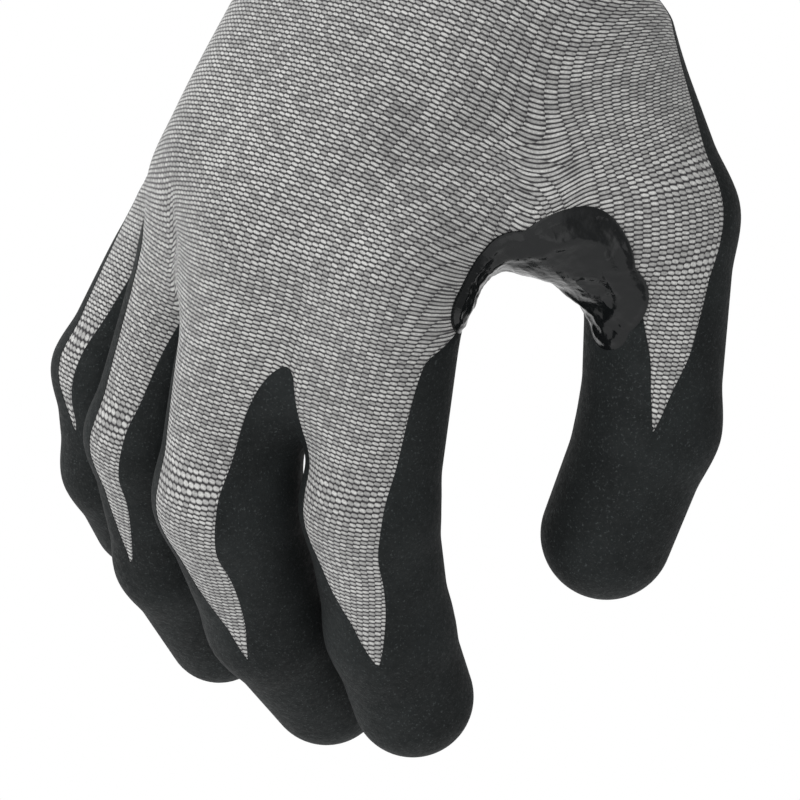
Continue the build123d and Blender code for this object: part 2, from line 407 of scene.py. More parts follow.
def palm_field(p):
    """First-order distance to the palm and cuff tube."""
    x, y, z = p.T
    cx, a, b, n = palm_row(z)
    middle, tilt = arch(x, z)
    u = (x - cx) / a
    v = (y - middle) / b
    q = np.maximum((np.abs(u) ** n + np.abs(v) ** n) ** (1 / n), 1e-6)
    across = np.sign(u) * (np.abs(u) / q) ** (n - 1) / a
    deep = np.sign(v) * (np.abs(v) / q) ** (n - 1) / b
    slope = np.sqrt((across - deep * tilt) ** 2 + deep**2)
    d = (q - 1) / np.maximum(slope, 1e-6)
    end = PALM_END - z
    return -smooth_min(-d, -end, PALM_END_BLEND)


def capsules(p, points, radius, k):
    d = None
    for a, b in zip(points, points[1:]):
        e = from_segment(p, a, b)[0] - radius
        d = e if d is None else smooth_min(d, e, k)
    return d


def finger_webs():
    """The short webs between neighbouring fingers, as capsules between their knuckles."""
    for a, b, depth in zip(FINGERS, FINGERS[1:], WEB_DEPTHS):
        da, db = digits[a], digits[b]
        middle = (da.points[0] + db.points[0]) / 2
        way = unit(da.ways[0] + db.ways[0])
        radius = (da.radii[0] + db.radii[0]) / 2 - WEB_INSET
        down = unit(way * WEB_LEAN + np.array((0, 0, -1)) * (1 - WEB_LEAN))
        yield np.array((middle - down * WEB_ROOT, middle, middle + way * (depth - radius / 2))), radius


WEBS = list(finger_webs())


def skin_field(p):
    """Distance to the outer face of the knitted glove. Parts that are far from all the points are left out."""
    low, high = p.min(0), p.max(0)
    p = np.asarray(p, np.float32)
    hand = palm_field(p)
    if low[2] < ARCH_END + WEB_ABOVE:
        for points, radius in WEBS:
            hand = smooth_min(hand, capsules(p, points, radius, FINGER_WEB_ROUND), FINGER_WEB_BLEND)
    if not digits["thumb"].far_from(low, high):
        kept = THUMB_BLEND * smoothstep(*THUMB_FADE, p[:, 2])
        hand = smooth_min(hand, digits["thumb"].field(p) + kept, THUMB_BLEND)
        hand = smooth_min(hand, capsules(p, WEB_ARC, WEB_RADIUS, THUMB_WEB_ROUND), THUMB_WEB_BLEND)
    best = hand
    for name in FINGERS:
        if not digits[name].far_from(low, high):
            best = np.minimum(best, smooth_min(hand, digits[name].field(p), KNUCKLE_BLEND))
    return best


def in_chunks(function, p):
    return np.concatenate([function(p[i : i + CHUNK]) for i in range(0, len(p), CHUNK)])


def gradient(p):
    """Field value, unit gradient and steepness at points, from a tetrahedron of samples."""
    corners = np.array(((1, -1, -1), (-1, -1, 1), (-1, 1, -1), (1, 1, 1)), float)
    value = np.zeros(len(p))
    slope = np.zeros((len(p), 3))
    for corner in corners:
        d = in_chunks(skin_field, p + corner * SLOPE_STEP)
        value += d / 4
        slope += corner * d[:, None]
    length = np.linalg.norm(slope, axis=1)
    return value, slope / np.maximum(length, 1e-9)[:, None], length / (4 * SLOPE_STEP)


def sampled_field(low, high):
    """The skin's field on a regular grid: exact near the skin, coarse elsewhere."""
    count = np.ceil((high - low) / (VOXEL * COARSE)).astype(int)
    axes = [low[i] + (np.arange(count[i]) + 0.5) * VOXEL * COARSE for i in range(3)]
    grid = np.stack(np.meshgrid(*axes, indexing="ij"), -1).reshape(-1, 3)
    rough = in_chunks(skin_field, grid).reshape(count)
    near = np.abs(rough) < VOXEL * COARSE * 1.5
    fine = np.repeat(np.repeat(np.repeat(rough, COARSE, 0), COARSE, 1), COARSE, 2).astype(np.float32)
    cells = np.argwhere(near)
    inner = np.stack(np.meshgrid(*[np.arange(COARSE)] * 3, indexing="ij"), -1).reshape(-1, 3)
    index = (cells[:, None, :] * COARSE + inner[None]).reshape(-1, 3)
    points = low + (index + 0.5) * VOXEL
    fine[index[:, 0], index[:, 1], index[:, 2]] = in_chunks(skin_field, points)
    return fine


def skin_mesh():
    """Vertices and triangles of the zero surface, facing out."""
    low = np.array(cad_low) * MM - GRID_MARGIN
    high = np.array(cad_high) * MM + GRID_MARGIN
    high[2] = GRID_TOP
    volume = openvdb.FloatGrid(OUTSIDE)
    volume.copyFromArray(sampled_field(low, high))
    verts, tris, quads = volume.convertToPolygons(isovalue=0.0, adaptivity=0.0)
    verts = low + (np.asarray(verts, float) + 0.5) * VOXEL
    quads = np.asarray(quads).reshape(-1, 4)
    tris = np.concatenate((np.asarray(tris).reshape(-1, 3), quads[:, (0, 1, 2)], quads[:, (0, 2, 3)]))
    value, normal, steep = gradient(verts)
    verts = verts - normal * np.clip(value / np.maximum(steep, 0.3), -VOXEL, VOXEL)[:, None]
    a, b, c = (verts[tris[:, i]] for i in range(3))
    facing = np.einsum("ij,ij->i", np.cross(b - a, c - a), normal[tris[:, 0]])
    if np.median(facing) < 0:
        tris = tris[:, ::-1]
    return verts, tris


def dip_height(x, z):
    """How far behind (-) or in front of (+) the hand's mid plane the palm film's edge runs."""
    outer = np.interp(-z, *zip(*DIP_OUTER))
    inner = np.interp(-z, *zip(*DIP_INNER))
    return outer + (inner - outer) * smoothstep(*DIP_ACROSS, x) + WEB_BARE * np.maximum(x - WEB_BARE_FROM, 0.0)


def strip_half_angle(name, s, angle):
    """Half angle in degrees of the bare strip on a digit's back."""
    end = STRIP_ENDS[name]
    if name == "thumb":
        before = THUMB_STRIP_START - s
        share = np.abs(before / (end - THUMB_STRIP_START)) ** THUMB_STRIP_POWER
        taper = THUMB_STRIP_HALF * (1 - share * np.sign(-before))
        web_side = np.minimum(THUMB_STRIP_HALF + THUMB_WEB_FLARE * before, THUMB_WEB_MOST)
        outer_side = THUMB_STRIP_HALF + THUMB_OUTER_FLARE * before
        return np.where(before < 0, taper, np.where(angle > 0, web_side, outer_side))
    inner, outer = STRIP_FLARES[name]
    flare = np.where(angle > 0, inner, outer)
    taper = STRIP_HALVES[name] * (1 - np.clip(s / end, 0.0, 1.5) ** STRIP_POWER)
    return np.minimum(taper + FLARE_ANGLE * np.exp(np.clip((flare - s) / FLARE_LENGTH, -9, 4)), STRIP_MOST)


def digit_shares(away, palm):
    """How much each digit decides the film's edge and the knit at each point."""
    fingers = np.stack([away[name] for name in FINGERS], 1)
    shares = np.exp(-(fingers - fingers.min(1, keepdims=True)) / SHARE_SOFTNESS)
    shares /= shares.sum(1, keepdims=True)
    nearest = fingers.min(1)
    out = {name: shares[:, n] * (1 - smoothstep(*FINGER_FADE, away[name])) for n, name in enumerate(FINGERS)}
    thumb = smoothstep(*THUMB_OVER_PALM, palm - away["thumb"]) * (1 - smoothstep(*THUMB_EDGE, away["thumb"]))
    thumb *= smoothstep(*THUMB_OVER_FINGERS, nearest - away["thumb"])
    out["thumb"] = thumb
    for name in FINGERS:
        out[name] = out[name] * (1 - thumb)
    return out


def digit_knit(digit, s, angle):
    """Knit coordinates on a digit, before they are lined up with the hand's."""
    radius = float(np.mean(digit.radii[digit.knuckle :]))
    side = -1.0 if digit.name == "thumb" else 1.0
    return side * radius * angle, s


def knit_shift(digit):
    """What to add to a digit's knit coordinates so that they meet the hand's."""
    if digit.name == "thumb":
        meet = THUMB_MEETS
    else:
        back = -unit(np.cross(digit.axis, digit.ways[0]))
        meet = digit.points[0] + back * digit.radii[0]
    u, v = digit_knit(digit, *digit.place(meet[None]))
    return meet[0] - u, ROW_SLOPE * meet[0] - meet[2] - v


def vertex_fields(p):
    """Everything the skin carries: film edge distance, knit coordinates and each digit's cuts."""
    fields = {}
    x, y, z = p.T
    palm = palm_field(p)
    away = {name: digits[name].field(p).astype(float) for name in DIGITS}
    places = {name: digits[name].place(p) for name in DIGITS}
    shares = digit_shares(away, palm)
    film = y - arch(x, z)[0] - dip_height(x, z)
    nearest = np.min([away[name] for name in FINGERS], 0)
    over_palm = smoothstep(*KNIT_OVER_PALM, palm - away["thumb"])
    knit_share = over_palm * smoothstep(*KNIT_OVER_FINGERS, nearest - away["thumb"])
    u = x.copy()
    v = ROW_SLOPE * x - z
    for name in DIGITS:
        digit = digits[name]
        s, angle = places[name]
        end = STRIP_ENDS[name]
        shift = knit_shift(digit)
        u_digit, v_digit = (value + add for value, add in zip(digit_knit(digit, s, angle), shift))
        angle = np.degrees(angle) - STRIP_TURNS[name] - STRIP_DRIFTS[name] * smoothstep(DRIFT_FROM * end, end, s)
        angle = (angle + 180.0) % 360.0 - 180.0
        radius = float(np.mean(digit.radii[digit.knuckle :]))
        edge = radius * np.radians(np.abs(angle) - strip_half_angle(name, s, angle))
        if name == "thumb":
            zone = shares[name] * smoothstep(*THUMB_ZONE, s)
            turn_u = turn_v = knit_share * smoothstep(*THUMB_TURN, s)
        else:
            zone = shares[name] * smoothstep(*FINGER_ZONE, s)
            turn_u = shares[name] * smoothstep(*FINGER_TURN_U, s)
            turn_v = shares[name] * smoothstep(*FINGER_TURN_V, s)
        film = film + zone * (edge - film)
        u = u + turn_u * (u_digit - u)
        v = v + turn_v * (v_digit - v)
        fields[f"{name}_near"] = away[name]
        for number, (tube, pivot, across, lead, tail) in enumerate(digit.crossings):
            if number == 0:
                fields[f"{name}_{tube}"] = (p - pivot + across * lead) @ across
            else:
                n = digit.knuckle + number
                middle = (digit.points[n - 1] + pivot) / 2
                fields[f"{name}_{tube}"] = (p - middle) @ digit.ways[n - 1]
    fields["film"] = film
    fields["u"] = u
    fields["v"] = v
    fields["wrist"] = WRIST_Z + WRIST_TUCK - z
    fields["patch"] = patch_depth(p)
    return fields


def patch_depth(p):
    """How far inside the patch's outline each point is."""
    best = np.full(len(p), -99.0)
    for a, b, reach_a, reach_b in zip(PATCH_LINE, PATCH_LINE[1:], PATCH_REACH, PATCH_REACH[1:]):
        off, t = from_segment(p, a, b)
        best = np.maximum(best, reach_a + (reach_b - reach_a) * t - off)
    return best


def cut(mesh, key, only=None):
    """Splits every triangle that the zero line of a field crosses."""
    verts, fields, tris = mesh["p"], mesh["fields"], mesh["tris"]
    f = fields[key].copy()
    f[np.abs(f) < 1e-4] = 1e-4
    fields[key] = f
    side = f[tris] > 0
    crossed = side.any(1) & ~side.all(1)
    if only is not None:
        crossed &= only[tris].all(1)
    odd = side[crossed]
    t = tris[crossed]
    lone = np.where(odd.sum(1) == 1, odd.argmax(1), (~odd).argmax(1))
    rows = np.arange(len(t))
    a = t[rows, lone]
    b = t[rows, (lone + 1) % 3]
    c = t[rows, (lone + 2) % 3]
    pairs = np.sort(np.stack((np.stack((a, b), 1), np.stack((a, c), 1))), -1)
    edges, inverse = np.unique(pairs.reshape(-1, 2), axis=0, return_inverse=True)
    inverse = inverse.reshape(2, -1)
    share = f[edges[:, 0]] / (f[edges[:, 0]] - f[edges[:, 1]])
    share = np.clip(share, 0.02, 0.98)
    base = len(verts)
    ab, ac = base + inverse[0], base + inverse[1]

    def mixed(values):
        w = share if values.ndim == 1 else share[:, None]
        return values[edges[:, 0]] * (1 - w) + values[edges[:, 1]] * w

    mesh["p"] = np.concatenate((verts, mixed(verts)))
    mesh["n"] = np.concatenate((mesh["n"], mixed(mesh["n"])))
    for name in list(fields):
        new = mixed(fields[name])
        if name == key:
            new[:] = 0.0
        fields[name] = np.concatenate((fields[name], new))
    made = (np.stack((a, ab, ac), 1), np.stack((ab, b, c), 1), np.stack((ab, c, ac), 1))
    mesh["tris"] = np.concatenate((tris[~crossed], *made))


def tri_mean(mesh, key):
    return mesh["fields"][key][mesh["tris"]].mean(1)


def vertex_normals(p, tris):
    a, b, c = (p[tris[:, i]] for i in range(3))
    face = np.cross(b - a, c - a)
    normals = np.zeros_like(p)
    for i in range(3):
        for axis in range(3):
            normals[:, axis] += np.bincount(tris[:, i], face[:, axis], len(p))
    return normals / np.maximum(np.linalg.norm(normals, axis=1), 1e-9)[:, None]


def shell(name, mesh, chosen, outside, inside, material, uv=True, soft=False):
    """A closed thin-walled object from some of the skin's triangles. outside and inside are offsets along the
    skin's normal, one number or one per skin vertex. A soft shell is shaded from its own, displaced faces."""
    tris = mesh["tris"][chosen]
    used, flat = np.unique(tris, return_inverse=True)
    tris = flat.reshape(-1, 3)
    p, n = mesh["p"][used], mesh["n"][used]
    count = len(used)
    out = np.broadcast_to(outside, len(mesh["p"]))[used][:, None]
    ins = np.broadcast_to(inside, len(mesh["p"]))[used][:, None]
    verts = np.concatenate((p + n * out, p + n * ins)) / MM
    edges = np.concatenate((tris[:, (0, 1)], tris[:, (1, 2)], tris[:, (2, 0)]))
    code = edges[:, 0] * count + edges[:, 1]
    back = edges[:, 1] * count + edges[:, 0]
    border = edges[~np.isin(code, back)]
    rim_a = np.stack((border[:, 0], border[:, 0] + count, border[:, 1] + count), 1)
    rim_b = np.stack((border[:, 0], border[:, 1] + count, border[:, 1]), 1)
    faces = np.concatenate((tris, tris[:, ::-1] + count, rim_a, rim_b))
    if soft:
        n = vertex_normals(verts[:count], tris)
    normals = np.concatenate((n, -n))
    corner_normals = normals[faces]
    rim = len(tris) * 2
    a, b, c = (verts[faces[rim:, i]] for i in range(3))
    flat_normal = np.cross(b - a, c - a)
    flat_normal /= np.maximum(np.linalg.norm(flat_normal, axis=1), 1e-12)[:, None]
    corner_normals[rim:] = flat_normal[:, None, :]
    coords = None
    if uv:
        both = np.stack((mesh["fields"]["u"][used], mesh["fields"]["v"][used]), 1)
        coords = np.concatenate((both, both))[faces]
    return make_mesh(name, verts, faces, corner_normals, coords, material)


def make_mesh(name, verts, faces, corner_normals, coords, material):
    data = bpy.data.meshes.new(name)
    data.vertices.add(len(verts))
    data.vertices.foreach_set("co", np.asarray(verts, np.float32).ravel())
    size = faces.shape[1]
    data.loops.add(faces.size)
    data.loops.foreach_set("vertex_index", faces.astype(np.int32).ravel())
    data.polygons.add(len(faces))
    data.polygons.foreach_set("loop_start", np.arange(0, faces.size, size, dtype=np.int32))
    data.update(calc_edges=True)
    data.polygons.foreach_set("use_smooth", np.ones(len(faces), bool))
    if coords is not None:
        layer = data.uv_layers.new(name="knit")
        layer.data.foreach_set("uv", coords.astype(np.float32).ravel())
    data.validate()
    if corner_normals is not None:
        data.normals_split_custom_set(corner_normals.reshape(-1, 3))
    data.materials.append(material)
    obj = bpy.data.objects.new(name, data)
    bpy.context.scene.collection.objects.link(obj)
    return obj


class Shader:
    """Builds one procedural material."""

    def __init__(self, name):
        self.material = bpy.data.materials.new(name)
        self.material.use_nodes = True
        self.tree = self.material.node_tree
        self.tree.nodes.clear()
        self.out = self.tree.nodes.new("ShaderNodeOutputMaterial")

    def put(self, socket, value):
        if isinstance(value, bpy.types.NodeSocket):
            self.tree.links.new(value, socket)
        elif isinstance(value, tuple) and socket.type == "RGBA" and len(value) == 3:
            socket.default_value = (*value, 1.0)
        else:
            socket.default_value = value

    def node(self, kind, output=0, settings=None, **inputs):
        made = self.tree.nodes.new(kind)
        for key, value in (settings or {}).items():
            setattr(made, key, value)
        for key, value in inputs.items():
            self.put(made.inputs[key.replace("_", " ")], value)
        return made.outputs[output]

    def math(self, operation, *values, clamp=False):
        made = self.tree.nodes.new("ShaderNodeMath")
        made.operation = operation
        made.use_clamp = clamp
        for socket, value in zip(made.inputs, values):
            self.put(socket, value)
        return made.outputs[0]

    def mix(self, share, a, b):
        made = self.tree.nodes.new("ShaderNodeMix")
        made.data_type = "RGBA"
        self.put(made.inputs[0], share)
        self.put(made.inputs[6], a)
        self.put(made.inputs[7], b)
        return made.outputs[2]

    def step(self, value, low, high, to_low=0.0, to_high=1.0):
        made = self.tree.nodes.new("ShaderNodeMapRange")
        made.interpolation_type = "SMOOTHSTEP"
        for socket, given in zip(made.inputs, (value, low, high, to_low, to_high)):
            self.put(socket, given)
        return made.outputs[0]

    def noise(self, vector, scale, detail=2.0, rough=0.5):
        return self.node(
            "ShaderNodeTexNoise", settings={"noise_dimensions": "3D"},
            Vector=vector, Scale=scale, Detail=detail, Roughness=rough,
        )

    def place(self):
        return self.node("ShaderNodeNewGeometry")

    def finish(self, height=None, distance=0.0003, strength=1.0, **inputs):
        if height is not None:
            inputs["Normal"] = self.node("ShaderNodeBump", Height=height, Distance=distance, Strength=strength)
        shader = self.node("ShaderNodeBsdfPrincipled", **inputs)
        self.tree.links.new(shader, self.out.inputs["Surface"])
        return self.material


def stitches(shader, wale, course, slope=0.30, lean=0.10):
    """Height 0 to 1 of the bright yarn loops, from the knit coordinates."""
    uv = shader.node("ShaderNodeUVMap", settings={"uv_map": "knit"})
    split = shader.tree.nodes.new("ShaderNodeSeparateXYZ")
    shader.tree.links.new(uv, split.inputs[0])
    place = shader.place()
    wobble = shader.noise(place, 260.0, 1.0)
    u = shader.math("DIVIDE", split.outputs[0], wale)
    v = shader.math("DIVIDE", split.outputs[1], course)
    v = shader.math("ADD", v, shader.math("MULTIPLY", wobble, 0.35))
    u = shader.math("ADD", u, shader.math("MULTIPLY", v, lean))
    across = shader.math("SUBTRACT", shader.math("FRACT", u), 0.5)
    v = shader.math("SUBTRACT", v, shader.math("MULTIPLY", across, slope))
    down = shader.math("SUBTRACT", shader.math("FRACT", v), 0.5)
    ex = shader.math("POWER", shader.math("ABSOLUTE", shader.math("DIVIDE", across, 0.5)), 2.4)
    ey = shader.math("POWER", shader.math("ABSOLUTE", shader.math("DIVIDE", down, 0.38)), 2.0)
    round_ = shader.math("SUBTRACT", 1.0, shader.math("ADD", shader.math("MULTIPLY", ex, 0.55), ey))
    cell = shader.tree.nodes.new("ShaderNodeCombineXYZ")
    shader.put(cell.inputs[0], shader.math("FLOOR", u))
    shader.put(cell.inputs[1], shader.math("FLOOR", v))
    chance = shader.node("ShaderNodeTexWhiteNoise", settings={"noise_dimensions": "2D"}, Vector=cell.outputs[0])
    return shader.step(round_, -0.35, 0.75), chance, place


def knit_material(name, dark, light, wale=WALE, course=COURSE):
    shader = Shader(name)
    loop, chance, place = stitches(shader, wale, course)
    fibre = shader.noise(place, 2600.0, 2.0, 0.7)
    patchy = shader.noise(place, 35.0, 3.0, 0.6)
    bright = shader.math("MULTIPLY", loop, shader.step(fibre, 0.25, 0.75, 0.62, 1.08))
    bright = shader.math("MULTIPLY", bright, shader.step(patchy, 0.3, 0.7, 0.88, 1.06))
    bright = shader.math("MULTIPLY", bright, shader.step(chance, 0.0, 1.0, 0.66, 1.12), clamp=True)
    colour = shader.mix(bright, dark, light)
    height = shader.math("ADD", loop, shader.math("MULTIPLY", fibre, 0.25))
    return shader.finish(
        height, 0.00028, 0.8, Base_Color=colour, Roughness=0.72, Sheen_Weight=0.25, Sheen_Roughness=0.5,
        Specular_IOR_Level=0.35,
    )


def film_material(name="coating"):
    """Sandy matt rubber."""
    shader = Shader(name)
    place = shader.place()
    grain = shader.noise(place, 2300.0, 3.0, 0.65)
    sand = shader.noise(place, 900.0, 4.0, 0.7)
    cloud = shader.noise(place, 60.0, 3.0, 0.6)
    fleck = shader.step(grain, 0.56, 0.72)
    base = shader.mix(shader.step(cloud, 0.35, 0.65), (0.0070, 0.0086, 0.0088), (0.0125, 0.0150, 0.0153))
    colour = shader.mix(shader.math("MULTIPLY", fleck, 0.7), base, (0.060, 0.068, 0.069))
    height = shader.math("ADD", sand, shader.math("MULTIPLY", grain, 0.7))
    rough = shader.step(sand, 0.3, 0.7, 0.62, 0.85)
    return shader.finish(height, 0.00022, 0.7, Base_Color=colour, Roughness=rough, Specular_IOR_Level=0.18)


def yarn_material(name, colour):
    """Plain spun yarn with fine fibres."""
    shader = Shader(name)
    place = shader.place()
    fibre = shader.noise(place, 3200.0, 2.0, 0.7)
    pale = tuple(c * 2.2 for c in colour)
    mixed = shader.mix(shader.step(fibre, 0.35, 0.7), colour, pale)
    return shader.finish(fibre, 0.00012, 0.8, Base_Color=mixed, Roughness=0.8, Specular_IOR_Level=0.2)


def patch_material(name="patch"):
    """Glossy, wrinkled rubber."""
    shader = Shader(name)
    place = shader.place()
    folds = shader.noise(place, 500.0, 3.0, 0.55)
    rough = shader.step(folds, 0.3, 0.7, 0.12, 0.26)
    return shader.finish(
        folds, 0.0002, 0.7, Base_Color=(0.006, 0.0068, 0.0072), Roughness=rough, Specular_IOR_Level=0.3,
    )


KNIT = knit_material("liner_knit", (0.020, 0.018, 0.021), (0.57, 0.57, 0.555))
CUFF_KNIT = knit_material("cuff_knit", (0.020, 0.018, 0.021), (0.50, 0.50, 0.49))
HEM_YARN = yarn_material("hem_yarn", (0.030, 0.030, 0.033))
FILM = film_material()
PATCH = patch_material()


def make_skin():
    """The cut skin with everything that its vertices carry."""
    verts, tris = skin_mesh()
    skin = {"p": verts, "tris": tris, "n": vertex_normals(verts, tris), "fields": vertex_fields(verts)}
    fields = skin["fields"]
    for key in ("film", "wrist", "patch"):
        cut(skin, key)
    for name in DIGITS:
        for tube, *_ in digits[name].crossings:
            cut(skin, f"{name}_{tube}", fields[f"{name}_near"] < DIGIT_REACH)
    for a, b in zip(FINGERS, FINGERS[1:]):
        key = f"between_{a}_and_{b}"
        fields[key] = fields[f"{a}_near"] - fields[f"{b}_near"]
        cut(skin, key, (skin["p"][:, 2] < WEB_TOP_Z) & (np.abs(fields[key]) < BORDER_BAND))
    return skin


def split_skin(skin):
    """Hand and digit pieces: name, triangles, the bodies on either side of its joint and the two ends of the
    span round it, or None.
    """
    nearest = np.stack([tri_mean(skin, f"{name}_near") for name in DIGITS], 1)
    owner = nearest.argmin(1)
    in_glove = tri_mean(skin, "wrist") > 0
    in_hand = in_glove.copy()
    for number, name in enumerate(DIGITS):
        crossings = digits[name].crossings
        mine = (owner == number) & (nearest[:, number] < DIGIT_REACH) & in_glove
        mine &= tri_mean(skin, f"{name}_{crossings[0][0]}") > 0
        in_hand &= ~mine
        parent = "hand"
        for n, (tube, pivot, across, lead, tail) in enumerate(crossings):
            chosen = mine & (tri_mean(skin, f"{name}_{tube}") > 0)
            if n + 1 < len(crossings):
                chosen &= tri_mean(skin, f"{name}_{crossings[n + 1][0]}") < 0
            body = f"{name}_{tube}"
            ends = (pivot - across * lead) / MM, (pivot + across * tail) / MM
            yield body, chosen, (parent, body), ends
            parent = body
    yield "hand", in_hand, None, None


def add_skin(skin):
    """The knit and the film over it, hand and digit tubes each a piece of their own."""
    coated = tri_mean(skin, "film") > 0
    film_out = FILM_EDGE + (FILM_BODY - FILM_EDGE) * smoothstep(0.0, FILM_RAMP, skin["fields"]["film"])
    for part, chosen, bodies, ends in split_skin(skin):
        layers = (
            (f"knit_{part}", chosen, 0.0, -KNIT_WALL, KNIT, "liner_knit", f"{part}_knit"),
            (f"film_{part}", chosen & coated, film_out, -FILM_SOAK, FILM, "palm_coating", f"{part}_coating"),
        )
        for name, faces, outside, inside, material, slot, node in layers:
            piece = shell(name, skin, faces, outside, inside, material)
            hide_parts("palm_coating" if part == "hand" and material is FILM else node)
            if bodies:
                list(bodies)
                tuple(ends[0])
                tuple(ends[1])
                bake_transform(piece)
            else:
                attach(piece, "hand")


def finer(mesh, keys):
    """Splits every triangle into four."""
    tris = mesh["tris"]
    edges = np.sort(np.concatenate((tris[:, (0, 1)], tris[:, (1, 2)], tris[:, (2, 0)])), 1)
    pairs, inverse = np.unique(edges, axis=0, return_inverse=True)
    base, count = len(mesh["p"]), len(tris)
    ab, bc, ca = (base + inverse.reshape(-1)[i * count : (i + 1) * count] for i in range(3))
    a, b, c = tris.T
    four = ((a, ab, ca), (ab, b, bc), (ca, bc, c), (ab, bc, ca))
    out = {"tris": np.concatenate([np.stack(corners, 1) for corners in four])}
    for key in keys:
        values = mesh[key]
        out[key] = np.concatenate((values, (values[pairs[:, 0]] + values[pairs[:, 1]]) / 2))
    return out


def crumple(points):
    """Height of the patch's wrinkles at each point, about -1 to 1."""
    out = np.empty(len(points))
    for i, p in enumerate(points):
        broad = noise.noise(Vector(p) * BROAD_PITCH)
        crease = 1.0 - CREASE_STEEP * abs(noise.noise(Vector(p * CREASE_PITCH + CREASE_SHIFT)))
        small = noise.noise(Vector(p) * SMALL_PITCH)
        out[i] = 0.5 * broad + 0.5 * crease + SMALL_SHARE * small
    return out


def add_patch(skin):
    """A closed, wrinkled shell of rubber over the web of the thumb."""
    tris = skin["tris"][(tri_mean(skin, "patch") > 0) & (tri_mean(skin, "wrist") > 0)]
    used, flat = np.unique(tris, return_inverse=True)
    mesh = {"tris": flat.reshape(-1, 3), "p": skin["p"][used], "n": skin["n"][used]}
    mesh["depth"] = skin["fields"]["patch"][used]
    for _ in range(PATCH_SPLITS):
        mesh = finer(mesh, ("p", "n", "depth"))
    rise = smoothstep(0.0, PATCH_RAMP, mesh["depth"])
    ridge = PATCH_RIDGE * np.exp(-(((mesh["depth"] - PATCH_RIDGE_IN) / PATCH_RIDGE_HALF) ** 2))
    height = PATCH_EDGE + (PATCH_THICK + ridge + PATCH_CREASE * crumple(mesh["p"])) * rise
    mesh["fields"] = {}
    every = np.ones(len(mesh["tris"]), bool)
    piece = shell("patch", mesh, every, height, -FILM_SOAK, PATCH, uv=False, soft=True)
    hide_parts("thumb_crotch_patch")
    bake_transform(piece)


def around(half, angle):
    """Points of an ellipse at each angle, and the way out from it there."""
    points = np.stack((half[0] * np.cos(angle), half[1] * np.sin(angle)), 1)
    return points, unit_rows(np.stack((np.cos(angle) / half[0], np.sin(angle) / half[1]), 1))


def girth(half):
    """Close to the length of an ellipse."""
    return 2 * math.pi * math.sqrt((half[0] ** 2 + half[1] ** 2) / 2)


def tube_grid(name, half, rows, material, length):
    """A closed band round the wrist. rows gives, for each ring of the section in order, its height and how far
    outside the ellipse it lies, as a number or one for each column. length is that of a row of knit."""
    columns = CUFF_COLUMNS
    turns = np.arange(columns) / columns
    ellipse, out = around(half, turns * 2 * math.pi)
    verts = []
    for z, offset in rows:
        ring = ellipse + out * np.broadcast_to(offset, columns)[:, None]
        verts.append(np.column_stack((ring, np.broadcast_to(z, columns))))
    count = len(rows)
    i = np.arange(columns)
    j = (i + 1) % columns
    faces = []
    for n in range(count):
        m = (n + 1) % count
        faces.append(np.stack((n * columns + i, m * columns + i, m * columns + j, n * columns + j), 1))
    faces = np.concatenate(faces)
    across = np.stack((turns, turns, turns + 1 / columns, turns + 1 / columns), 1) * length
    heights = np.array([z for z, _ in rows])
    after = np.roll(heights, -1)
    down = -np.stack((heights, after, after, heights), 1)
    coords = np.concatenate([np.stack((across, np.broadcast_to(d, (columns, 4))), 2) for d in down])
    piece = make_mesh(name, np.concatenate(verts) / MM, faces, None, coords, material)
    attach(piece, "hand")
    return piece


def add_cuff():
    """Ribbed cuff: the ribs stand out between the rows of elastic that gather them."""
    ribs = round(girth(CUFF_HALF) / RIB_PITCH)
    turns = np.arange(CUFF_COLUMNS) / CUFF_COLUMNS
    wave = np.cos(turns * ribs * 2 * math.pi)
    heights = np.arange(HEM_Z + HEM_LAP, WRIST_Z - CUFF_STEP / 2, -CUFF_STEP)
    outside, inside = [], []
    for z in heights:
        gather = 0.5 + 0.5 * math.cos((z - HEM_Z) / ELASTIC_PITCH * 2 * math.pi)
        rib = RIB_DEPTH * wave * (1 - GATHERED_RIB * gather) - ELASTIC_DEPTH * gather
        outside.append((z, rib))
        inside.append((z, rib * INNER_RIB - CUFF_WALL))
    edge = (heights[-1] - CUFF_EDGE, -CUFF_WALL / 2)
    length = round(girth(CUFF_HALF) / WALE) * WALE
    piece = tube_grid("cuff", CUFF_HALF, outside + [edge] + inside[::-1], CUFF_KNIT, length)
    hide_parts("cuff_rib", "cuff_elastic")


def add_hem():
    """Overlocked hem: a rolled band with a yarn wound over its edge."""
    half = (CUFF_HALF[0] - CUFF_WALL / 2, CUFF_HALF[1] - CUFF_WALL / 2)
    section = []
    for step in range(HEM_ROUND):
        a = step / HEM_ROUND * 2 * math.pi
        reach = abs(math.cos(a)) ** HEM_SQUARENESS * math.copysign(1, math.cos(a))
        section.append((HEM_Z / 2 + math.sin(a) * (-HEM_Z / 2 - HEM_INSET), reach * HEM_HALF_WALL))
    band = tube_grid("hem", half, section[::-1], CUFF_KNIT, round(HEM_ROW / WALE) * WALE)
    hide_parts("cuff_hem")
    add_overlock(half)


def add_overlock(half):
    """The yarn that is wound over the hem."""
    wraps = round(girth(half) / OVERLOCK_PITCH)
    steps = wraps * OVERLOCK_STEPS
    t = np.arange(steps) / steps
    wrap = t * wraps * 2 * math.pi
    ellipse, out = around(half, t * 2 * math.pi)
    reach = HEM_HALF_WALL + OVERLOCK_YARN * OVERLOCK_PROUD
    ring = ellipse + out * (np.cos(wrap) * reach)[:, None]
    z = HEM_Z / 2 + np.sin(wrap) * (-HEM_Z / 2 + OVERLOCK_YARN * OVERLOCK_RISE)
    yarn = cord_mesh("hem_stitches", np.column_stack((ring, z)), OVERLOCK_YARN, HEM_YARN)
    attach(yarn, "hand")


